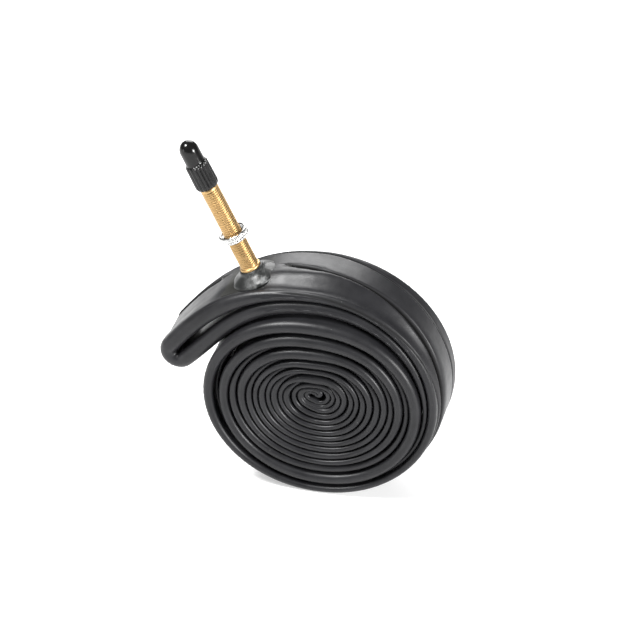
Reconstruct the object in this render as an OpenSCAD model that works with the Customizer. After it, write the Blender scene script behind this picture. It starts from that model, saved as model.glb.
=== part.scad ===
// Bicycle inner tube, flattened, doubled and rolled up, with a threaded narrow-type air valve.
// The roll stands on its rim: its axis lies along Y, and the origin is the middle of the
// small flat on which it rests. The strands are drawn in the X-Z plane and extruded along Y.

/* [Rolled tube] */
// Width of the flattened tube, which is the depth of the roll
tube_w = 24; // [20:1:28]
// Radius of the outer strand where the roll begins, half a turn from the inner fold
core_r = 7.3; // [7:0.1:7.6]
// Growth of the roll's radius in its first double turn
first_pitch = 3.7; // [3.6:0.1:3.8]
// Extra growth per turn, each turn more than the last
pitch_growth = 0.16; // [0.15:0.01:0.18]
// Part of the room between turns that the flattened tube fills
fill = 0.82; // [0.7:0.01:0.84]
// Room that the last half turn gains towards the loose end
slack = 3.4; // [3:0.1:3.6]

/* [Loose end] */
// Thickness of the tube where it folds back at the end of the loose loop
fold_t = 3; // [2.4:0.1:3.4]
// Radius of the fold at the end of the loose loop, at the middle of the wall
fold_r = 3; // [2.6:0.1:3.2]

/* [Valve] */
// Tilt of the valve from vertical, in the plane of the roll
valve_tilt = 23.5; // [21:0.1:25]
// Lean of the valve towards the front of the roll
valve_lean = 5; // [0:1:8]
// Diameter of the threaded stem
stem_d = 6; // [5.8:0.1:6]
// Diameter of the stem's upper end, which takes the cap and the pump
tip_d = 5.2; // [5:0.1:5.2]
// Length of the stem above the rubber foot, up to its shoulder
stem_l = 32; // [26:1:50]
// Length of the stem's upper end
tip_l = 8; // [7:0.5:9]
// Width across the flats of the valve core
core_flats = 4; // [3.8:0.1:4.1]

/* [Lock ring and cap] */
// Outside diameter of the lock ring
ring_d = 9.8; // [9:0.1:12]
// Height of the lock ring
ring_h = 2.7; // [2.5:0.1:4]
// Height of the lock ring's lower face above the rubber foot
ring_at = 11.7; // [3:0.1:20]
// Outside diameter of the cap's ribbed skirt
skirt_d = 7.6; // [7.5:0.1:9]
// Length of the cap's ribbed skirt
skirt_l = 9.3; // [9:0.1:9.6]
// Outside diameter of the cap's round nose
nose_d = 6.3; // [6.3:0.1:6.6]
// Overall length of the cap
cap_l = 17.4; // [17:0.1:18]

/* [Hidden] */
$fn = 48;

// ---- the roll: angle "a" is counted in degrees along the strand, counter-clockwise seen from
// the front, and a point at "a" lies in the direction a + 180 from the roll's centre.
start_a = -330;
leave_a = 2430;
bottom_a = 90;
flat_a = 14;
turn_points = 18;
sag = 0.985;
wide = 1.04;
low_r = 1;
high_core = 0.85;
high_end = 0.985;
high_from = 1650;
centre_x = 1;
function ease(v) = let (c = min(max(v, 0), 1)) c * c * (3 - 2 * c);
// The last half turn, from under the roll to its top, opens out by the slack.
function opened(a) = ease((a - leave_a + 180) / 180);
function outer_r(a) = let (n = a / 360) core_r + first_pitch * n + pitch_growth * n * n;
function room(a) = (outer_r(a) - outer_r(a - 360) + slack * opened(a)) / 2;
// Strand 0 is the outer one of the pair and strand 1 the inner one.
function mid_r(a, strand) = outer_r(a) + slack * opened(a) - (strand + 0.5) * room(a);
function turn_bottom(a) = 360 * floor((a + 90) / 360) + bottom_a;
// Each turn is flattened where the roll bears on the ground.
function on_flat(a) = abs(a - turn_bottom(a)) < flat_a + 0.5;
// The roll is oval: its inner turns are pressed down from above, and its last turn is nearly round.
function high(a) = high_core + (high_end - high_core) * ease((a - high_from) / (leave_a - high_from));
function tall(a) = sin(a + 180) > 0 ? high(a) : low_r;
function pressed(a) = 1 - (1 - tall(a)) * pow(sin(a), 2);
function roll_point(a, strand) =
    let (low = turn_bottom(a),
         x = centre_x + wide * mid_r(a, strand) * cos(a + 180),
         z = on_flat(a) ? -sag * low_r * mid_r(low, strand) : tall(a) * mid_r(a, strand) * sin(a + 180))
    [x, centre_h + z, fill * pressed(a) * room(on_flat(a) ? low : a)];
// The outermost turn rests on the ground, at z = 0.
ground_a = leave_a - 180;
centre_h = sag * low_r * mid_r(ground_a, 0) + fill * pressed(ground_a) * room(ground_a) / 2;
function roll_angles() =
    [for (turn = [-1 : 6], i = [0 : turn_points])
        let (a = 360 * turn + bottom_a + flat_a + i * (360 - 2 * flat_a) / turn_points)
        if (a >= start_a && a <= leave_a) a];
function roll_run(strand) = [for (a = roll_angles()) roll_point(a, strand)];

// ---- the loose loop: two smooth curves from the roll to the fold at its end
fold_at = [-45.4, centre_h + 9.8];
fold_dir = 232;
fold_points = 8;
pull_out = 24;
pull_in = 18;
loose_points = 10;
function unit(d) = [cos(d), sin(d)];
function flat2(p) = [p[0], p[1]];
function bezier(p, t) =
    pow(1 - t, 3) * p[0] + 3 * pow(1 - t, 2) * t * p[1] + 3 * (1 - t) * t * t * p[2] + t * t * t * p[3];
// Each curve leaves the roll in direction "out" and meets the fold in direction "in".
function loose_curve(strand) =
    let (from = flat2(roll_point(leave_a, strand)),
         to = fold_at + fold_r * unit(fold_dir + (strand == 0 ? -90 : 90)),
         out = strand == 0 ? 180 : 181,
         in = strand == 0 ? fold_dir : fold_dir - 8)
    [from, from + pull_out * unit(out), to - pull_in * unit(in), to];
loose_t = fill * room(leave_a);
function loose_run(strand) =
    [for (i = [1 : loose_points - 1])
        let (v = i / loose_points, p = bezier(loose_curve(strand), v))
        [p[0], p[1], loose_t + (fold_t - loose_t) * ease(v)]];
fold_run = [for (i = [0 : fold_points])
    let (p = fold_at + fold_r * unit(fold_dir - 90 + 180 * i / fold_points)) [p[0], p[1], fold_t]];

// ---- the inner fold, where the two strands join at the core
core_a = roll_point(roll_angles()[0], 0);
core_b = roll_point(roll_angles()[0], 1);
core_mid = (flat2(core_a) + flat2(core_b)) / 2;
core_arm = flat2(core_a) - core_mid;
function turned(v, d) = [v[0] * cos(d) - v[1] * sin(d), v[0] * sin(d) + v[1] * cos(d)];
core_step = 30;
core_run = [for (d = [core_step : core_step : 180 - core_step])
    let (p = core_mid + turned(core_arm, -d)) [p[0], p[1], core_a[2]]];

function backwards(v) = [for (i = [len(v) - 1 : -1 : 0]) v[i]];

// The whole loop of tube as one closed line of [x, z, thickness], outer strand first.
loop_line = concat(roll_run(0), loose_run(0), fold_run, backwards(loose_run(1)),
                   backwards(roll_run(1)), backwards(core_run));
loop_n = len(loop_line);
function way(i) =
    let (d = flat2(loop_line[(i + 1) % loop_n]) - flat2(loop_line[i % loop_n])) [d[1], -d[0]] / norm(d);
// Point i of the line moved out by "side" half thicknesses plus "extra", so that each face keeps
// its distance from the line.
function beside(i, side, extra = 0) =
    let (m = way(i + loop_n - 1), n = way(i), p = loop_line[i])
    flat2(p) + (m + n) / (1 + m * n) * (side * p[2] / 2 + extra);
outer_line = [for (i = [0 : loop_n - 1]) beside(i, 1)];
inner_line = [for (i = [0 : loop_n - 1]) beside(i, -1)];

// ---- the valve: its axis starts at the top of the rubber foot and points along the stem
valve_at = [-22.7, 0, centre_h + 39.7];
// The reinforcing patch covers this run of the outer strand's outer face.
patch_from = len(roll_angles());
patch_to = patch_from + 5;
patch_t = 0.9;
patch_w = tube_w - 4;
// The rubber foot spreads from the stem to the patch; the stem's flange is moulded into it.
foot_d = 8;
foot_spread = 0.7;
foot_base_d = 17;
foot_h = 2.4;
foot_deep = 7;
hole_deep = 4.9;
flange_d = 8;
flange_t = 0.7;
flange_at = -0.6;
collar_d = 6.6;
collar_h = 1;
air_d = 3.2;
// The core is screwed into the stem's upper end and seals on a gasket at the bore's step.
seat_at = stem_l - 4;
core_bore_d = 4.1;
core_nose_d = 2.9;
nose_bore_d = 2.3;
nose_end = seat_at - 3;
top_at = stem_l + tip_l;
gasket_t = 1.2;
neck_d = 4.8;
flats_l = 2.6;
// The pin hangs in the core: its seal closes the core's nose from below.
pin_d = 1.9;
pin_head = 0.6;
pin_out = 1.8;
seal_d = 2.9;
seal_t = 1.4;
nut_at = top_at + flats_l;
nut_d = 4;
nut_h = 3.2;
pin_end = nut_at + nut_h + pin_out;
slip = 0.05;
cut = 1;
ring_edge = 0.3;
ring_crown = 0.6;
ring_sink = 0.5;
ring_sink_d = 7.6;
cap_gap = 0.2;
cap_wall = 0.9;
cap_room = 0.6;
cap_lip = 0.6;
cap_taper = 0.15;

module on_valve(height = 0) {
    translate(valve_at) rotate([valve_lean, -valve_tilt, 0]) translate([0, 0, height]) children();
}
module rod(d, from, to) {
    translate([0, 0, from]) cylinder(d = d, h = to - from);
}
module across_roll(depth) {
    rotate([90, 0, 0]) linear_extrude(depth, center = true) children();
}
// A slab that follows the outer strand's outer face, from "low" to "high" beyond it.
module patch_slab(width, low, high) {
    across_roll(width)
        polygon(concat([for (i = [patch_from : patch_to]) beside(i, 1, high)],
                       [for (i = [patch_to : -1 : patch_from]) beside(i, 1, low)]));
}

module inner_tube() {
    color("#3a3a3a") difference() {
        across_roll(tube_w)
            polygon(concat(outer_line, inner_line),
                    [[for (i = [0 : loop_n - 1]) i], [for (i = [0 : loop_n - 1]) loop_n + i]]);
        on_valve() rod(air_d, -hole_deep, 0);
    }
}
module valve_patch() {
    color("#444440") difference() {
        patch_slab(patch_w, 0, patch_t);
        on_valve() rod(air_d, -foot_deep, 0);
    }
}
module valve_foot() {
    color("#2e2e2e") difference() {
        on_valve() rotate_extrude()
            polygon([[0, 0], [foot_d / 2, 0], [foot_d / 2 + foot_spread, -foot_h / 3],
                     [foot_base_d / 2, -foot_h], [foot_base_d / 2, -foot_deep], [0, -foot_deep]]);
        patch_slab(tube_w, -foot_deep, patch_t);
        on_valve() {
            rod(stem_d, flange_at, cut);
            rod(flange_d, flange_at - flange_t, flange_at);
            rod(air_d, -foot_deep, flange_at);
        }
    }
}
module valve_stem() {
    color("#cda569") on_valve() difference() {
        union() {
            rod(flange_d, flange_at - flange_t, flange_at);
            rod(stem_d, flange_at, stem_l);
            rod(collar_d, 0, collar_h);
            rod(tip_d, stem_l, top_at);
        }
        rod(air_d, flange_at - flange_t - cut, seat_at + cut);
        rod(core_bore_d, seat_at, top_at + cut);
    }
}
module lock_ring() {
    color("#d9d9d9") on_valve(ring_at)
        rotate_extrude()
            polygon([[stem_d / 2 + slip, 0], [ring_d / 2 - ring_edge, 0], [ring_d / 2, ring_edge],
                     [ring_d / 2, ring_h - ring_crown], [ring_d / 2 - ring_crown, ring_h],
                     [ring_sink_d / 2, ring_h], [stem_d / 2 + slip, ring_h - ring_sink]]);
}
module core_body() {
    color("#c9a063") on_valve() difference() {
        union() {
            rod(core_nose_d, nose_end, seat_at + gasket_t);
            rod(core_bore_d, seat_at + gasket_t, top_at);
            intersection() {
                rod(neck_d, top_at, nut_at);
                translate([-core_flats / 2, -tip_d, top_at]) cube([core_flats, 2 * tip_d, flats_l]);
            }
        }
        rod(nose_bore_d, nose_end - cut, nut_at + cut);
    }
}
module core_gasket() {
    color("#1d1d1d") on_valve() difference() {
        rod(core_bore_d, seat_at, seat_at + gasket_t);
        rod(core_nose_d, seat_at - cut, seat_at + gasket_t + cut);
    }
}
module core_pin() {
    color("#d8b070") on_valve() union() {
        rod(pin_d, nose_end - seal_t, pin_end);
        rod(seal_d, nose_end - seal_t - pin_head, nose_end - seal_t);
    }
}
module pin_seal() {
    color("#202020") on_valve() difference() {
        rod(seal_d, nose_end - seal_t, nose_end);
        rod(pin_d, nose_end - seal_t - cut, nose_end + cut);
    }
}
module tip_nut() {
    color("#d4ab6c") on_valve() difference() {
        rod(nut_d, nut_at, nut_at + nut_h);
        rod(pin_d + 2 * slip, nut_at - cut, nut_at + nut_h + cut);
    }
}
module dust_cap() {
    color("#151515") on_valve(stem_l) difference() {
        rotate_extrude()
            polygon(concat([[0, 0], [skirt_d / 2 - cap_lip, 0], [skirt_d / 2, cap_lip],
                            [skirt_d / 2 - cap_taper, skirt_l], [nose_d / 2, skirt_l]],
                           round_end(nose_d / 2, cap_l)));
        rotate_extrude()
            polygon(concat([[0, -cut], [tip_d / 2 + cap_gap, -cut],
                            [tip_d / 2 + cap_gap, tip_l + cap_room], [tip_d / 2, tip_l + cap_room]],
                           round_end(tip_d / 2, cap_l - cap_wall)));
    }
}
// The quarter circle that closes a round nose of radius r at height top.
function round_end(r, top) = [for (t = [0 : 10 : 90]) [r * cos(t), top - r + r * sin(t)]];

inner_tube();
valve_patch();
valve_foot();
valve_stem();
lock_ring();
core_body();
core_gasket();
core_pin();
pin_seal();
tip_nut();
dust_cap();
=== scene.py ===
"""A deflated bicycle inner tube, flattened, doubled and rolled up, with its threaded air valve.

Lengths are in millimetres in the CAD frame until a mesh is made, and the route of the strand and the
places along the valve repeat those of the CAD model.
"""
import math

import bpy
from mathutils import Matrix, Vector, noise


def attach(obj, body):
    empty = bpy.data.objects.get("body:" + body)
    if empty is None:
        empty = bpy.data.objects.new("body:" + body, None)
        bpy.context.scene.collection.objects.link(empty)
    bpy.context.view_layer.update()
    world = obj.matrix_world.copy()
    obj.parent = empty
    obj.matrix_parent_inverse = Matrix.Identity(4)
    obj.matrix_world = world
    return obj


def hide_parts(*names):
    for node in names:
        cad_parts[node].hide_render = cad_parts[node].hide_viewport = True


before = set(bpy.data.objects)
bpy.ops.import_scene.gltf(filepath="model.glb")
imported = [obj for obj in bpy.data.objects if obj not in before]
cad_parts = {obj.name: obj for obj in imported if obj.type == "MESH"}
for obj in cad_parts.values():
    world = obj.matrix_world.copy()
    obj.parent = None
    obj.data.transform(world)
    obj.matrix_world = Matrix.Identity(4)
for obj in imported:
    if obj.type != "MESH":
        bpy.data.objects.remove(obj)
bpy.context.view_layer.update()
MM = 0.001
CREASE_SHADE = "crease_shade"


# ---------------------------------------------------------------- small helpers
def ease(v):
    c = min(max(v, 0.0), 1.0)
    return c * c * (3 - 2 * c)


def lerp(a, b, f):
    return a + (b - a) * f


def through(values, v):
    """A smooth curve through values at 0, 1, 2 ..."""
    i = min(max(int(math.floor(v)), 0), len(values) - 2)
    f = v - i
    p = [values[min(max(k, 0), len(values) - 1)] for k in (i - 1, i, i + 1, i + 2)]
    return 0.5 * (2 * p[1] + (p[2] - p[0]) * f + (2 * p[0] - 5 * p[1] + 4 * p[2] - p[3]) * f * f
                  + (3 * p[1] - p[0] - 3 * p[2] + p[3]) * f ** 3)


def wave(x, seed, scale):
    """Gentle, repeatable unevenness between about -1 and 1."""
    return noise.noise(Vector((x * scale, seed * 7.31, 0.37)))


def hump(v, at, width):
    return math.exp(-((v - at) / width) ** 2)


def make(name, verts, faces, material, body, nodes):
    mesh = bpy.data.meshes.new(name)
    mesh.from_pydata([(x * MM, y * MM, z * MM) for x, y, z in verts], [], faces)
    mesh.validate()
    mesh.materials.append(material)
    mesh.shade_smooth()
    piece = bpy.data.objects.new(name, mesh)
    bpy.context.scene.collection.objects.link(piece)
    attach(piece, body)
    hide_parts(*nodes)
    return piece


def ring_faces(rows, around, closed_rows=False):
    """Quads of a grid of rows that each close on themselves."""
    last = rows if closed_rows else rows - 1
    return [(r * around + c, r * around + (c + 1) % around,
             (r + 1) % rows * around + (c + 1) % around, (r + 1) % rows * around + c)
            for r in range(last) for c in range(around)]


# ---------------------------------------------------------------- materials
def nodes_of(name):
    mat = bpy.data.materials.new(name)
    mat.use_nodes = True
    tree = mat.node_tree
    return mat, tree, tree.nodes["Principled BSDF"]


def add(tree, kind, **sockets):
    node = tree.nodes.new(kind)
    for key, value in sockets.items():
        node.inputs[key].default_value = value
    return node


def noise_node(tree, coords, scale, detail, rough, stretch=None):
    node = add(tree, "ShaderNodeTexNoise", Scale=scale, Detail=detail, Roughness=rough)
    if stretch:
        mapping = tree.nodes.new("ShaderNodeMapping")
        mapping.inputs["Scale"].default_value = stretch
        tree.links.new(coords, mapping.inputs["Vector"])
        coords = mapping.outputs["Vector"]
    tree.links.new(coords, node.inputs["Vector"])
    return node.outputs["Fac"]


def ramp(tree, fac, stops):
    node = tree.nodes.new("ShaderNodeValToRGB")
    while len(node.color_ramp.elements) < len(stops):
        node.color_ramp.elements.new(0.5)
    for element, (at, colour) in zip(node.color_ramp.elements, stops):
        element.position = at
        element.color = (*colour, 1)
    tree.links.new(fac, node.inputs["Fac"])
    return node.outputs["Color"]


def grey(v):
    return (v, v, v)


def mix(tree, fac, start, colour):
    """From the socket start, where fac is 0, to a plain colour, where it is 1."""
    node = tree.nodes.new("ShaderNodeMix")
    node.data_type = "RGBA"
    tree.links.new(fac, node.inputs["Factor"])
    tree.links.new(start, node.inputs["A"])
    node.inputs["B"].default_value = (*colour, 1)
    return node.outputs["Result"]


def bumps(tree, shader, layers):
    """layers: (height, strength, distance in metres), one on another."""
    normal = None
    for height, strength, distance in layers:
        node = add(tree, "ShaderNodeBump", Strength=strength, Distance=distance)
        tree.links.new(height, node.inputs["Height"])
        if normal:
            tree.links.new(normal, node.inputs["Normal"])
        normal = node.outputs["Normal"]
    tree.links.new(normal, shader.inputs["Normal"])


def object_coords(tree):
    return tree.nodes.new("ShaderNodeTexCoord").outputs["Object"]


def attribute(tree, name):
    node = tree.nodes.new("ShaderNodeAttribute")
    node.attribute_name = name
    return node.outputs["Fac"]


def talc(tree, at, colour, middle):
    """Streaks of talc over a colour, densest within a millimetre of middle and gone 7.5 mm from it."""
    away = tree.nodes.new("ShaderNodeVectorMath")
    away.operation = "DISTANCE"
    tree.links.new(at, away.inputs[0])
    away.inputs[1].default_value = [c * MM for c in middle]
    near = tree.nodes.new("ShaderNodeMapRange")
    near.inputs["From Min"].default_value = 0.001
    near.inputs["From Max"].default_value = 0.0075
    near.inputs["To Min"].default_value = 1
    near.inputs["To Max"].default_value = 0
    tree.links.new(away.outputs["Value"], near.inputs["Value"])
    streaks = ramp(tree, noise_node(tree, at, 330, 6, 0.7, (1, 0.5, 1)),
                   [(0.46, grey(0)), (0.68, grey(1))])
    both = tree.nodes.new("ShaderNodeMath")
    both.operation = "MULTIPLY"
    tree.links.new(near.outputs["Result"], both.inputs[0])
    tree.links.new(streaks, both.inputs[1])
    return mix(tree, both.outputs[0], colour, (0.2, 0.205, 0.205))


def rubber(name, dark, light, rough, talc_at=None, paint_crease_shade=False):
    """Smooth butyl rubber: slow mottling, fine grain, specks of dust, talc near talc_at, and painted shade
    where the mesh's shade attribute says so: black, matt colour in the creases, standing in for their
    shadow."""
    mat, tree, shader = nodes_of(name)
    at = object_coords(tree)
    colour = ramp(tree, noise_node(tree, at, 90, 5, 0.6), [(0.3, dark), (0.7, light)])
    specks = ramp(tree, noise_node(tree, at, 900, 2, 0.5), [(0.74, grey(0)), (0.8, grey(0.25))])
    colour = mix(tree, specks, colour, (0.2, 0.2, 0.19))
    if talc_at:
        colour = talc(tree, at, colour, talc_at)
    gloss = ramp(tree, noise_node(tree, at, 160, 4, 0.6),
                 [(0.25, grey(rough - 0.06)), (0.75, grey(rough + 0.08))])
    if paint_crease_shade:
        # Painted shade: the creases go black and matt in colour, standing in for the shadow inside them.
        crease_shade = attribute(tree, CREASE_SHADE)
        colour = mix(tree, crease_shade, colour, grey(0))
        gloss = mix(tree, crease_shade, gloss, grey(1))
    tree.links.new(colour, shader.inputs["Base Color"])
    tree.links.new(gloss, shader.inputs["Roughness"])
    shader.inputs["Specular IOR Level"].default_value = 0.26
    bumps(tree, shader, [
        (noise_node(tree, at, 260, 3, 0.5), 0.25, 0.0003),
        (noise_node(tree, at, 1800, 3, 0.6), 0.18, 0.00008),
        (noise_node(tree, at, 500, 2, 0.5, (1, 0.12, 1)), 0.12, 0.0001),
    ])
    return mat


def metal(name, dark, light, rough, grain):
    mat, tree, shader = nodes_of(name)
    at = object_coords(tree)
    colour = ramp(tree, noise_node(tree, at, grain, 4, 0.6), [(0.3, dark), (0.72, light)])
    gloss = ramp(tree, noise_node(tree, at, grain * 3, 3, 0.6),
                 [(0.3, grey(rough - 0.06)), (0.75, grey(rough + 0.1))])
    tree.links.new(colour, shader.inputs["Base Color"])
    tree.links.new(gloss, shader.inputs["Roughness"])
    shader.inputs["Metallic"].default_value = 1
    bumps(tree, shader, [(noise_node(tree, at, grain * 5, 3, 0.6), 0.04, 0.00002)])
    return mat


def plastic(name, dark, light, rough):
    mat, tree, shader = nodes_of(name)
    at = object_coords(tree)
    colour = ramp(tree, noise_node(tree, at, 400, 3, 0.5), [(0.3, dark), (0.8, light)])
    gloss = ramp(tree, noise_node(tree, at, 700, 3, 0.6), [(0.3, grey(rough)), (0.8, grey(rough + 0.12))])
    tree.links.new(colour, shader.inputs["Base Color"])
    tree.links.new(gloss, shader.inputs["Roughness"])
    shader.inputs["Specular IOR Level"].default_value = 0.3
    bumps(tree, shader, [(noise_node(tree, at, 2500, 2, 0.5), 0.12, 0.00004)])
    return mat


# ---------------------------------------------------------------- route of the strand, as in the CAD
CORE_R, FIRST_PITCH, PITCH_GROWTH, SLACK = 7.3, 3.7, 0.16, 3.4
START_A, LEAVE_A = -510, 2430
SAG, WIDE, LOW_R, CENTRE_X = 0.985, 1.04, 1.0, 1.0
HIGH_CORE, HIGH_END, HIGH_FROM = 0.85, 0.985, 1650
CENTRE_H = 35.896
FOLD_DIR, FOLD_R = 232, 3.2
FOLD_AT = (-45.4, CENTRE_H + 9.8)


def outer_r(a):
    n = a / 360
    return CORE_R + FIRST_PITCH * n + PITCH_GROWTH * n * n


def opened(a):
    return ease((a - LEAVE_A + 180) / 180)


def room(a):
    return (outer_r(a) - outer_r(a - 360) + SLACK * opened(a)) / 2


def mid_r(a, strand):
    return outer_r(a) + SLACK * opened(a) - (strand + 0.5) * room(a)


def tall(a):
    if math.sin(math.radians(a + 180)) > 0:
        return HIGH_CORE + (HIGH_END - HIGH_CORE) * ease((a - HIGH_FROM) / (LEAVE_A - HIGH_FROM))
    return LOW_R * (1 - (1 - SAG) * math.sin(math.radians(a)) ** 2)


def pressed(a):
    return 1 - (1 - tall(a)) * math.sin(math.radians(a)) ** 2


def roll_mid(a, strand):
    r, d = mid_r(a, strand), math.radians(a + 180)
    return Vector((CENTRE_X + WIDE * r * math.cos(d), CENTRE_H + tall(a) * r * math.sin(d)))


# The strands' front edges lie less evenly than their middles. Each row is a quarter turn further out:
# outer and inner radius of the outer strand's edge, inner radius of the inner strand's edge, and how
# far back each of the two edges lies. Radii are from the middle of the roll's front.
EDGE_FROM, EDGE_STEP = -540, 90
EDGES = [
    (4.2, 2.4, 0.6, 2.2, 2.4),
    (3.2, 1.8, 0.4, 2.6, 2.8),
    (4.6, 3.0, 1.5, 2.6, 2.8),
    (4.2, 2.7, 1.2, 2.6, 2.8),
    (7.5, 5.8, 4.0, 2.6, 2.8),
    (5.6, 3.8, 2.3, 2.4, 3.2),
    (7.3, 5.3, 3.3, 2.2, 2.4),
    (7.6, 5.4, 3.4, 2.0, 2.2),
    (11.7, 9.2, 7.6, 1.8, 2.0),
    (9.7, 6.2, 5.8, 1.6, 4.5),
    (11.3, 9.8, 7.4, 1.5, 1.5),
    (11.5, 9.4, 7.7, 1.4, 1.8),
    (15.5, 13.7, 11.8, 1.2, 1.4),
    (12.2, 10.5, 9.8, 1.0, 3.5),
    (15.3, 13.8, 11.4, 1.0, 1.0),
    (15.3, 13.6, 11.6, 0.9, 1.2),
    (20.0, 17.7, 15.6, 0.8, 1.0),
    (15.4, 12.6, 12.3, 0.6, 4.0),
    (19.6, 17.7, 15.4, 0.7, 0.7),
    (19.5, 17.3, 15.4, 0.6, 0.9),
    (24.8, 22.5, 20.1, 0.5, 0.8),
    (19.8, 15.7, 15.5, 0.3, 4.0),
    (24.9, 21.8, 19.7, 0.4, 0.6),
    (24.3, 22.2, 19.6, 0.3, 0.5),
    (29.8, 26.8, 24.9, 0.2, 0.8),
    (24.9, 20.2, 20.0, 0.0, 4.0),
    (31.0, 27.5, 25.0, 0.2, 0.6),
    (31.6, 27.4, 24.4, 0.2, 0.6),
    (35.6, 31.7, 29.9, 0.0, 1.2),
    (30.3, 25.4, 25.1, -0.2, 4.0),
    (36.3, 32.6, 32.2, 0.2, 4.0),
    (34.4, 31.8, 31.6, 0.3, 4.0),
    (40.7, 37.6, 35.8, 1.6, 2.0),
    (39.8, 36.2, 31.2, 2.4, 2.6),
]
FACE_AT = Vector((0.0, 36.27))
FRONT_Y = -12.25
TUBE_W = 23.7
GAP = 0.3
THIN_EDGE = 1.9
# The edges hang lower than the table's radii above the middle, and bulge further below it: the more so
# outside OUTER_R, and the less so inside FREE_R, near the core.
HANG, BULGE, OUTER_BULGE, FREE_R, OUTER_R, OUTER_EASE = 1.7, 0.8, 0.9, 8.0, 26.0, 6.0


def edge(a, strand):
    """Middle of a strand's front edge, its thickness, and how far back it lies."""
    out, split, inner, back_a, back_b = (
        through([row[k] for row in EDGES], (a - EDGE_FROM) / EDGE_STEP) for k in range(5))
    hi, lo, back = (out, split, back_a) if strand == 0 else (split, inner, back_b)
    d = math.radians(a + 180)
    r = (hi + lo) / 2
    free = min(r / FREE_R, 1)
    r += (free * BULGE + OUTER_BULGE * ease((r - OUTER_R) / OUTER_EASE)) * max(-math.sin(d), 0)
    r -= free * HANG * max(math.sin(d), 0)
    return (FACE_AT + Vector((r * math.cos(d), r * math.sin(d))), max(hi - lo - GAP, THIN_EDGE - GAP),
            back + 0.15 * wave(a, strand + 1, 0.03))


class Station:
    """One cross-section of the strand: middle and thickness, the same at its front edge, how far back
    that edge lies, the angle along the roll (None on the loose loop), and strand 0 (outer) or 1."""

    def __init__(self, mid, thick, front, front_thick, back, a=None, strand=0):
        self.mid, self.thick, self.front, self.front_thick, self.back = mid, thick, front, front_thick, back
        self.a, self.strand = a, strand


def roll_station(a, strand):
    front, front_thick, back = edge(a, strand)
    thick = room(a) * pressed(a) - GAP
    mid = roll_mid(a, strand)
    # Nothing goes below the ground.
    mid.y = max(mid.y, thick / 2)
    front.y = max(front.y, front_thick / 2)
    return Station(mid, thick, front, front_thick, back, a, strand)


def bezier(p, t):
    u = 1 - t
    return u ** 3 * p[0] + 3 * u * u * t * p[1] + 3 * u * t * t * p[2] + t ** 3 * p[3]


def unit(d):
    return Vector((math.cos(math.radians(d)), math.sin(math.radians(d))))


START_PULL, FOLD_PULL = 24, 18


def loose_curve(strand, start, fold_at, fold_r):
    """Bezier points from the roll's top to one side of the loose fold."""
    to = fold_at + fold_r * unit(FOLD_DIR + (-90 if strand == 0 else 90))
    out = 180 if strand == 0 else 181
    into = FOLD_DIR if strand == 0 else FOLD_DIR - 8
    return [start, start + START_PULL * unit(out), to - FOLD_PULL * unit(into), to]


STEP = 4
LOOSE_STEPS, FOLD_STEPS, CORE_STEPS = 26, 12, 8
EDGE_FOLD_AT = Vector(FOLD_AT) + Vector((0.2, -0.6))
EDGE_FOLD_R = 3.3
FOLD_THICK, PUFFY = 3.4, 5.6
FOLD_BACK, FOLD_DENT = 2.2, 0.5


def loose_run(strand):
    first = roll_station(LEAVE_A, strand)
    mids = loose_curve(strand, first.mid, Vector(FOLD_AT), FOLD_R)
    fronts = loose_curve(strand, first.front, EDGE_FOLD_AT, EDGE_FOLD_R)
    run = []
    for i in range(1, LOOSE_STEPS):
        v = i / LOOSE_STEPS
        run.append(Station(bezier(mids, v), lerp(first.thick, FOLD_THICK, ease(v)), bezier(fronts, v),
                           lerp(first.front_thick, PUFFY, ease(v * 1.5)), lerp(first.back, FOLD_BACK, v),
                           None, strand))
    return run


def fold_run():
    run = []
    for i in range(FOLD_STEPS + 1):
        d = FOLD_DIR - 90 + 180 * i / FOLD_STEPS
        back = FOLD_BACK + FOLD_DENT * math.sin(math.pi * i / FOLD_STEPS)
        run.append(Station(Vector(FOLD_AT) + FOLD_R * unit(d), FOLD_THICK,
                           EDGE_FOLD_AT + EDGE_FOLD_R * unit(d), PUFFY, back))
    return run


def core_run():
    """The inner fold, from the inner strand back to the outer one."""
    a, b = roll_station(START_A, 0), roll_station(START_A, 1)
    run = []
    for i in range(1, CORE_STEPS):
        turn = Matrix.Rotation(math.radians(180 * i / CORE_STEPS - 180), 2)
        run.append(Station((a.mid + b.mid) / 2 + turn @ ((a.mid - b.mid) / 2), a.thick,
                           (a.front + b.front) / 2 + turn @ ((a.front - b.front) / 2), a.front_thick,
                           lerp(b.back, a.back, i / CORE_STEPS), START_A))
    return run


roll = [[roll_station(a, s) for a in range(START_A, LEAVE_A + 1, STEP)] for s in (0, 1)]
stations = roll[0] + loose_run(0) + fold_run() + loose_run(1)[::-1] + roll[1][::-1] + core_run()


def normals(points):
    count = len(points)
    out = []
    for i in range(count):
        d = points[(i + 1) % count] - points[i - 1]
        out.append(Vector((d.y, -d.x)).normalized())
    return out


mid_normals = normals([s.mid for s in stations])
front_normals = normals([s.front for s in stations])

# Creases along the outer face of the outermost turn, by their distance from the roll's middle plane: a
# groove, a fine line and a line inside the back rim. Each row is 30 degrees further round from +X.
CREASE_STEP = 30
CREASES = [(-5.5, -7.5, 7.0), (-4.5, -9.4, 6.4), (-2.6, -9.9, 7.8), (-0.2, -9.4, 10.0), (4.0, -8.6, 10.6),
           (8.6, -8.2, 11.6), (8.8, -8.0, 11.8)]
# Each mark's depth and width, and where along the roll the marks and the patch begin.
LOOSE_GROOVE, GROOVE, FINE_LINE, RIM_LINE = (2.6, 0.6), (1.8, 0.38), (0.7, 0.28), (0.9, 0.35)
WORN_FROM, PATCHED_FROM = 2180, 2300
PATCH_X = (-34.0, -8.5)
PATCH_SWELL, SWELL_WIDTH = 0.35, 8


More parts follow.
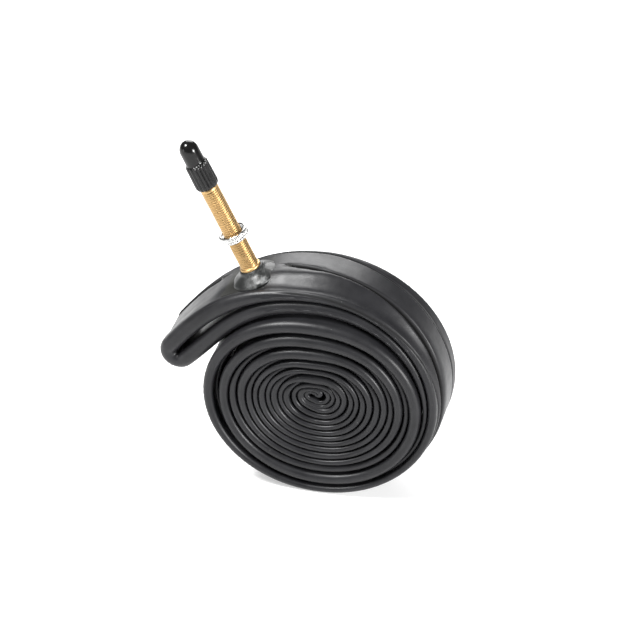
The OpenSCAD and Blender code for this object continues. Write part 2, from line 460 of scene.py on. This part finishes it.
def crease_ys(s):
    if s.a is None:
        d = math.degrees(math.atan2(s.mid.y - CENTRE_H, s.mid.x - CENTRE_X))
    else:
        d = s.a - LEAVE_A + 90
    v = min(max(d / CREASE_STEP, 0), len(CREASES) - 1)
    return [through([row[k] for row in CREASES], v) for k in range(3)]


def mark(y, at, depth_width):
    depth, width = depth_width
    return depth * hump(y, at, width)


def outer_creases_and_shade(s, x, y, lines):
    """How far the outermost face is drawn in at (x, y), and how much painted shade blackens the creases
    there.
    """
    if s.strand == 1:
        return 0.0, 0.0
    loose = s.a is None
    on = 1.0 if loose else ease((s.a - WORN_FROM) / 60)
    if on == 0:
        return 0.0, 0.0
    patch = 0.0
    if loose or s.a > PATCHED_FROM:
        patch = ease((x - PATCH_X[0] + 2) / 4) * ease((PATCH_X[1] + 1 - x) / 4)
    bare = on * (1 - patch)
    groove_y, fine_y, rim_y = lines
    groove = bare * mark(y, groove_y, LOOSE_GROOVE if loose else GROOVE)
    fine = rim = 0.0
    if not loose or x >= PATCH_X[0]:
        fine = bare * mark(y, fine_y, FINE_LINE)
        rim = on * mark(y, rim_y, RIM_LINE)
    # Painted shade: the groove, fine line and rim line are darkened in colour as though in shadow.
    painted_shade = min(1.3 * groove + 1.1 * fine + 1.2 * rim, 1)
    return groove + fine + rim - on * patch * PATCH_SWELL * hump(y, 0, SWELL_WIDTH), painted_shade


EDGE_FLAT, EDGE_BLEND = 0.6, 6.0


def face_at(i, u):
    """Middle of the strand, its outward direction and its half thickness, u back from its front edge."""
    s = stations[i]
    f = ease((u - s.front_thick / 2 - EDGE_FLAT) / EDGE_BLEND)
    n = (front_normals[i] * (1 - f) + mid_normals[i] * f).normalized()
    return s.front.lerp(s.mid, f), n, lerp(s.front_thick, s.thick, f) / 2


BACK_Y, BACK_SWELL = 12.4, 0.25
ROUNDING = range(0, 91, 15)
CREASE_ROWS = (-1.1, -0.65, -0.35, -0.15, 0.0, 0.15, 0.35, 0.65, 1.1)
BACK_EASE, FRONT_FADE, BACK_FADE = 2.0, 1.2, 0.6


def section(i):
    """Points round one cross-section, and the painted shade in the creases at each: out along the outer
    face, back on the inner.
    """
    s = stations[i]
    lines = crease_ys(s)
    tip, end = FRONT_Y + s.back, FRONT_Y + s.back + TUBE_W
    end = min(end + 0.25 * wave(i, 5, 0.02), BACK_Y)
    width = end - tip
    rf, rb = s.front_thick / 2, (s.thick + BACK_SWELL) / 2
    us = [rf * (1 - math.cos(math.radians(d))) for d in ROUNDING]
    us += [rf + 0.9 * k for k in range(1, 7)]
    start, stop = us[-1] + 0.8, width - rb - 0.4
    us += [start + (stop - start) * k / 8 for k in range(9)]
    for y in lines:
        us += [y - tip + d for d in CREASE_ROWS]
    us += [width - rb * (1 - math.cos(math.radians(d))) for d in ROUNDING]
    us = sorted(min(max(u, 0), width) for u in us)
    outer, inner, painted_shade = [], [], []
    for u in us:
        c, n, half = face_at(i, u)
        if u < rf:
            half = math.sqrt(max(rf * rf - (rf - u) ** 2, 0))
        elif width - u < rb:
            half = math.sqrt(max(rb * rb - (rb - (width - u)) ** 2, 0))
        elif width - u < rb + BACK_EASE:
            half = lerp(rb, half, ease((width - u - rb) / BACK_EASE))
        y = tip + u
        fade = min(1, u / FRONT_FADE, (width - u) / BACK_FADE)
        p = c + n * half
        worn, dark = outer_creases_and_shade(s, p.x, y, lines)
        outer.append((*(c + n * (half - worn * fade)), y))
        inner.append((*(c - n * half), y))
        painted_shade.append(dark)
    loop = outer + inner[-2:0:-1]
    painted_shade += [0.0] * (len(loop) - len(painted_shade))
    return [(x, y, z) for x, z, y in loop], painted_shade


def build_tube(material):
    verts, painted_shade = [], []
    for i in range(len(stations)):
        loop, loop_shade = section(i)
        verts += loop
        painted_shade += loop_shade
    faces = ring_faces(len(stations), len(verts) // len(stations), closed_rows=True)
    tube = make("rolled_tube", verts, faces, material, "tube_and_stem", ["inner_tube"])
    # The painted shade of the creases is stored on the mesh as a point attribute.
    tube.data.attributes.new(CREASE_SHADE, "FLOAT", "POINT").data.foreach_set("value", painted_shade)


# ---------------------------------------------------------------- the valve
VALVE_AT = Vector((-22.7, 0, CENTRE_H + 39.7))
VALVE_TILT, VALVE_LEAN = 23.5, 5
on_valve = (Matrix.Translation(VALVE_AT) @ Matrix.Rotation(math.radians(-VALVE_TILT), 4, "Y")
            @ Matrix.Rotation(math.radians(VALVE_LEAN), 4, "X"))


def turned_piece(name, radius_at, heights, around, material, body, nodes, closed):
    """A surface round the valve's axis. radius_at(angle, row) gives the radius at a row's height."""
    verts = []
    for row, h in enumerate(heights):
        for c in range(around):
            d = 2 * math.pi * c / around
            r = radius_at(d, row)
            verts.append(on_valve @ Vector((r * math.cos(d), r * math.sin(d), h)))
    faces = ring_faces(len(heights), around, closed)
    if not closed:
        faces.append(tuple(reversed(range(around))))
        faces.append(tuple(range((len(heights) - 1) * around, len(heights) * around)))
    make(name, verts, faces, material, body, nodes)


def thread(crest, depth, pitch):
    def radius(d, h):
        turn = (h / pitch - d / (2 * math.pi)) % 1
        return crest - depth * ease(2.6 * abs(turn - 0.5) - 0.15)
    return radius


def steps(start, stop, step):
    count = max(int(round((stop - start) / step)), 1)
    return [start + (stop - start) * k / count for k in range(count + 1)]


def profile_piece(name, rows, around, material, body, nodes, closed):
    """rows: (height, radius or function of angle and height). closed joins the last row to the first."""
    def radius(d, row):
        h, r = rows[row]
        return r(d, h) if callable(r) else r
    turned_piece(name, radius, [h for h, r in rows], around, material, body, nodes, closed)


STEM_TOP, TIP_TOP = 32, 40


def build_stem(material):
    body = thread(3.0, 0.24, 0.8)
    tip = thread(2.6, 0.26, 0.8)
    rows = [(-1.3, 1.6), (-1.3, 4.0), (-0.6, 4.0), (-0.6, 3.0), (0, 3.0), (0, 3.3), (0.12, 3.42),
            (0.75, 3.42), (0.9, 3.3), (0.95, 3.0), (1.05, 2.75)]
    rows += [(h, body) for h in steps(1.25, 31.2, 0.1)]
    rows += [(31.4, 2.8), (31.85, 2.72), (STEM_TOP, 2.55)]
    rows += [(h, tip) for h in steps(32.2, 39.5, 0.1)]
    rows += [(39.8, 2.45), (TIP_TOP, 2.3), (TIP_TOP, 2.05), (28, 2.05), (28, 1.6)]
    profile_piece("threaded_stem", rows, 72, material, "tube_and_stem", ["valve_stem"], True)


def build_foot(material):
    def flared(r, rough):
        return lambda d, h: r + rough * (wave(d * 2.2, 3, 1.0) + 0.24 * math.sin(5 * d + 0.7))
    rows = [(-0.6, 3.02), (-0.02, 3.02), (0.05, 3.35), (0.02, 3.75), (-0.18, 3.95),
            (-0.6, flared(4.05, 0.02)), (-1.0, flared(4.25, 0.08)), (-1.4, flared(4.7, 0.2)),
            (-1.8, flared(5.4, 0.3)), (-2.2, flared(6.2, 0.35)), (-2.7, flared(7.1, 0.4)),
            (-3.2, flared(7.7, 0.4)), (-3.8, 7.9), (-3.8, 3.02)]
    profile_piece("rubber_foot", rows, 64, material, "tube_and_stem", ["valve_foot"], True)


def build_ring(material):
    base = 11.7
    teeth = 26

    def knurl(shift):
        def radius(d, _):
            phase = (d * teeth / (2 * math.pi) + shift) % 1
            return 4.8 - 0.5 * abs(phase - 0.5) * 2
        return radius
    rows = [(0, 3.05), (0, 4.2), (0.12, 4.45)]
    rows += [(v, knurl(0.0)) for v in (0.25, 0.5, 0.85)]
    rows += [(0.95, 4.5), (1.05, 4.5)]
    rows += [(v, knurl(0.5)) for v in (1.15, 1.5, 1.8)]
    rows += [(1.92, 4.75), (2.2, 4.85), (2.5, 4.75), (2.7, 4.5), (2.7, 4.0), (2.5, 3.8), (1.7, 3.5),
             (1.6, 3.05)]
    profile_piece("knurled_ring", [(base + v, r) for v, r in rows], teeth * 6, material,
                  "ring", ["lock_ring"], True)


def build_cap(material):
    ribs = 18

    def ribbed(r, depth):
        def radius(d, _):
            phase = d * ribs / (2 * math.pi) % 1
            return r - depth * (1 - math.sin(math.pi * phase) ** 0.6)
        return radius
    skirt, nose, bore, roof, top = 9.3, 3.1, 2.6, 16.5, 17.4
    rows = [(0.0, 2.8), (0.0, 3.0), (0.1, ribbed(3.2, 0.1)), (0.35, ribbed(3.55, 0.25)),
            (0.8, ribbed(3.8, 0.42)), (1.4, ribbed(3.86, 0.5))]
    rows += [(v, ribbed(lerp(3.86, 3.72, v / skirt), 0.5)) for v in (2.6, 4, 5.5, 7, 8.2)]
    rows += [(8.8, ribbed(3.7, 0.52)), (9.1, ribbed(3.58, 0.4)), (9.26, ribbed(3.4, 0.15)), (skirt, 3.25),
             (9.4, 3.17), (9.8, 3.14), (12, 3.12), (13.7, nose)]
    rows += [(top + nose * 1.15 * (math.sin(math.radians(t)) - 1), nose * math.cos(math.radians(t)))
             for t in (8, 16, 24, 32, 40, 48, 56, 64, 71, 78, 84)]
    rows += [(top, 0.02), (roof, 0.02)]
    rows += [(roof - bore + bore * math.sin(math.radians(t)), bore * math.cos(math.radians(t)))
             for t in (80, 65, 50, 35, 20, 8)]
    rows += [(8.6, bore), (8.6, 2.8)]
    profile_piece("ribbed_cap", [(STEM_TOP + v, r) for v, r in rows], ribs * 10, material,
                  "cap", ["dust_cap"], True)


def build_core(material):
    """Tip nut with its knurl, and the threaded pin that it draws up."""
    def knurl(r):
        return lambda d, h: r - 0.13 * abs((d * 20 / (2 * math.pi)) % 1 - 0.5) * 2
    rows = [(42.6, 1.0), (42.6, 1.55), (42.8, 1.75), (42.95, knurl(2.0))]
    rows += [(h, knurl(2.0)) for h in (43.6, 44.4, 45.1)]
    rows += [(45.2, 1.85), (45.5, 1.6), (45.6, 1.45), (45.8, 1.4), (45.8, 1.0)]
    profile_piece("knurled_nut", rows, 120, material, "nut", ["tip_nut"], True)
    bolt = thread(0.95, 0.13, 0.4)
    rows = [(23.0, 0.02), (23.0, 1.3), (23.1, 1.45), (23.5, 1.45), (23.6, 1.3), (23.62, 0.95), (40, 0.95)]
    rows += [(h, bolt) for h in steps(40.1, 47.2, 0.05)]
    rows += [(47.3, 0.82), (47.6, 0.6), (47.6, 0.02)]
    profile_piece("threaded_pin", rows, 24, material, "pin", ["core_pin"], False)


PATCH_MIDDLE_Y, PATCH_HALF_W, PATCH_COLUMNS = 0.6, 10.0, 27


def build_patch(material):
    """The thin reinforcing patch, moulded on the strand's outer face round the foot."""
    chosen = [i for i, s in enumerate(stations)
              if s.strand == 0 and (s.a is None or s.a > 2400) and PATCH_X[0] - 1 < s.mid.x < PATCH_X[1] + 1
              and s.mid.y > 48 and i < len(stations) // 2]
    rows, cols = len(chosen), PATCH_COLUMNS
    verts = []
    for under in (False, True):
        for k, i in enumerate(chosen):
            s = stations[i]
            inward = min(min(k, rows - 1 - k) / 3, 1)
            for c in range(cols):
                across = 2 * c / (cols - 1) - 1
                y = PATCH_MIDDLE_Y + PATCH_HALF_W * across * (1 - 0.10 * (1 - inward))
                y = max(y, FRONT_Y + s.back + s.front_thick / 2 + 0.3)
                lift = 0.06 * noise.noise(Vector((s.mid.x * 0.35, y * 0.25, 2.0)))
                if under:
                    lift -= 0.5
                else:
                    lift += 0.14 * ease(inward) * (1 - abs(across) ** 6) - 0.1
                    lift += PATCH_SWELL * hump(y, 0, SWELL_WIDTH) * inward
                middle, n, half = face_at(i, y - FRONT_Y - s.back)
                p = middle + n * (half + lift)
                verts.append((p.x, y, p.y))
    below = rows * cols
    faces = []
    for base in (0, below):
        for k in range(rows - 1):
            for c in range(cols - 1):
                a = base + k * cols + c
                quad = (a, a + 1, a + cols + 1, a + cols)
                faces.append(quad if base else quad[::-1])
    rim = ([k * cols for k in range(rows)] + [(rows - 1) * cols + c for c in range(1, cols)]
           + [k * cols + cols - 1 for k in range(rows - 2, -1, -1)] + [c for c in range(cols - 2, 0, -1)])
    for a, b in zip(rim, rim[1:] + rim[:1]):
        faces.append((a, b, b + below, a + below))
    make("moulded_patch", verts, faces, material, "tube_and_stem", ["valve_patch"])


talc_at = tuple(on_valve @ Vector((4.5, -5.0, -3.0)))
tube_rubber = rubber("tube_rubber_look", (0.007, 0.007, 0.008), (0.014, 0.014, 0.0155), 0.38,
                     paint_crease_shade=True)
patch_rubber = rubber("patch_rubber_look", (0.008, 0.0082, 0.0074), (0.017, 0.017, 0.0148), 0.42, talc_at)
foot_rubber = rubber("foot_rubber_look", (0.008, 0.0085, 0.0085), (0.017, 0.018, 0.0175), 0.34, talc_at)
seal_rubber = rubber("seal_rubber_look", (0.012, 0.012, 0.012), (0.02, 0.02, 0.02), 0.5)
stem_brass = metal("stem_brass_look", (0.46, 0.3, 0.13), (0.52, 0.345, 0.16), 0.4, 60)
core_brass = metal("core_brass_look", (0.68, 0.48, 0.24), (0.84, 0.64, 0.36), 0.26, 400)
nickel = metal("nickel_look", (0.5, 0.5, 0.49), (0.64, 0.64, 0.63), 0.2, 300)
cap_plastic = plastic("cap_plastic_look", grey(0.003), grey(0.0048), 0.12)

build_tube(tube_rubber)
build_patch(patch_rubber)
build_stem(stem_brass)
build_foot(foot_rubber)
build_ring(nickel)
build_cap(cap_plastic)
build_core(core_brass)
for node, look in (("core_body", core_brass), ("core_gasket", seal_rubber), ("pin_seal", seal_rubber)):
    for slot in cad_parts[node].material_slots:
        slot.material = look


# ---------------------------------------------------------------- floor, light and camera
def stage_floor():
    mesh = bpy.data.meshes.new("floor")
    half = 30
    mesh.from_pydata([(-half, -half, 0), (half, -half, 0), (half, half, 0), (-half, half, 0)],
                     [], [(0, 1, 2, 3)])
    mat, tree, shader = nodes_of("floor_look")
    at = object_coords(tree)
    tree.links.new(ramp(tree, noise_node(tree, at, 3, 2, 0.5), [(0.3, grey(0.58)), (0.7, grey(0.6))]),
                   shader.inputs["Base Color"])
    shader.inputs["Emission Color"].default_value = (1, 1, 1, 1)
    shader.inputs["Emission Strength"].default_value = 0.5
    shader.inputs["Roughness"].default_value = 0.9
    shader.inputs["Specular IOR Level"].default_value = 0.1
    mesh.materials.append(mat)
    floor = bpy.data.objects.new("floor", mesh)
    bpy.context.scene.collection.objects.link(floor)


def area_light(name, at, towards, size, power):
    data = bpy.data.lights.new(name, "AREA")
    data.shape = "DISK"
    data.size = size
    data.energy = power
    light = bpy.data.objects.new(name, data)
    bpy.context.scene.collection.objects.link(light)
    light.location = at
    light.rotation_mode = "QUATERNION"
    light.rotation_quaternion = (Vector(towards) - Vector(at)).to_track_quat("-Z", "Y")


stage_floor()
world = bpy.data.worlds.new("studio")
bpy.context.scene.world = world
world.use_nodes = True
world.node_tree.nodes["Background"].inputs["Color"].default_value = (1, 1, 1, 1)
world.node_tree.nodes["Background"].inputs["Strength"].default_value = 0.22
middle = (-0.004, 0, 0.045)
area_light("left_box", (-0.45, -0.25, 0.86), middle, 0.34, 19)
area_light("right_box", (0.85, -0.34, 0.32), middle, 0.34, 15)
area_light("back_box", (-0.2, 0.82, 0.56), middle, 0.7, 9)
area_light("low_left", (-0.7, -0.5, 0.12), middle, 0.3, 0.7)
bpy.context.scene.view_settings.view_transform = "Standard"

# The camera looks from 14 degrees to the right and 32 degrees above, from a metre away. It is moved
# sideways and up, in metres, so that the roll sits low in the frame.
LENS_MM, SENSOR_MM, DISTANCE = 181.742, 36, 1.0
LEFT, RAISED = 0.00032, 0.028754
AZIMUTH, ELEVATION = math.radians(14), math.radians(32)
right = Vector((math.cos(AZIMUTH), math.sin(AZIMUTH), 0))
toward = Vector((math.sin(AZIMUTH) * math.cos(ELEVATION), -math.cos(AZIMUTH) * math.cos(ELEVATION),
                 math.sin(ELEVATION)))
up = toward.cross(right)
face_middle = Vector((0, -0.012, 0.03627))
camera_data = bpy.data.cameras.new("camera")
camera_data.sensor_width = SENSOR_MM
camera_data.lens = LENS_MM
camera_data.clip_start, camera_data.clip_end = 0.05, 20
camera = bpy.data.objects.new("camera", camera_data)
bpy.context.scene.collection.objects.link(camera)
bpy.context.scene.camera = camera
camera.matrix_world = Matrix.Translation(
    face_middle + toward * DISTANCE - right * LEFT + up * RAISED
) @ Matrix((right, up, toward)).transposed().to_4x4()
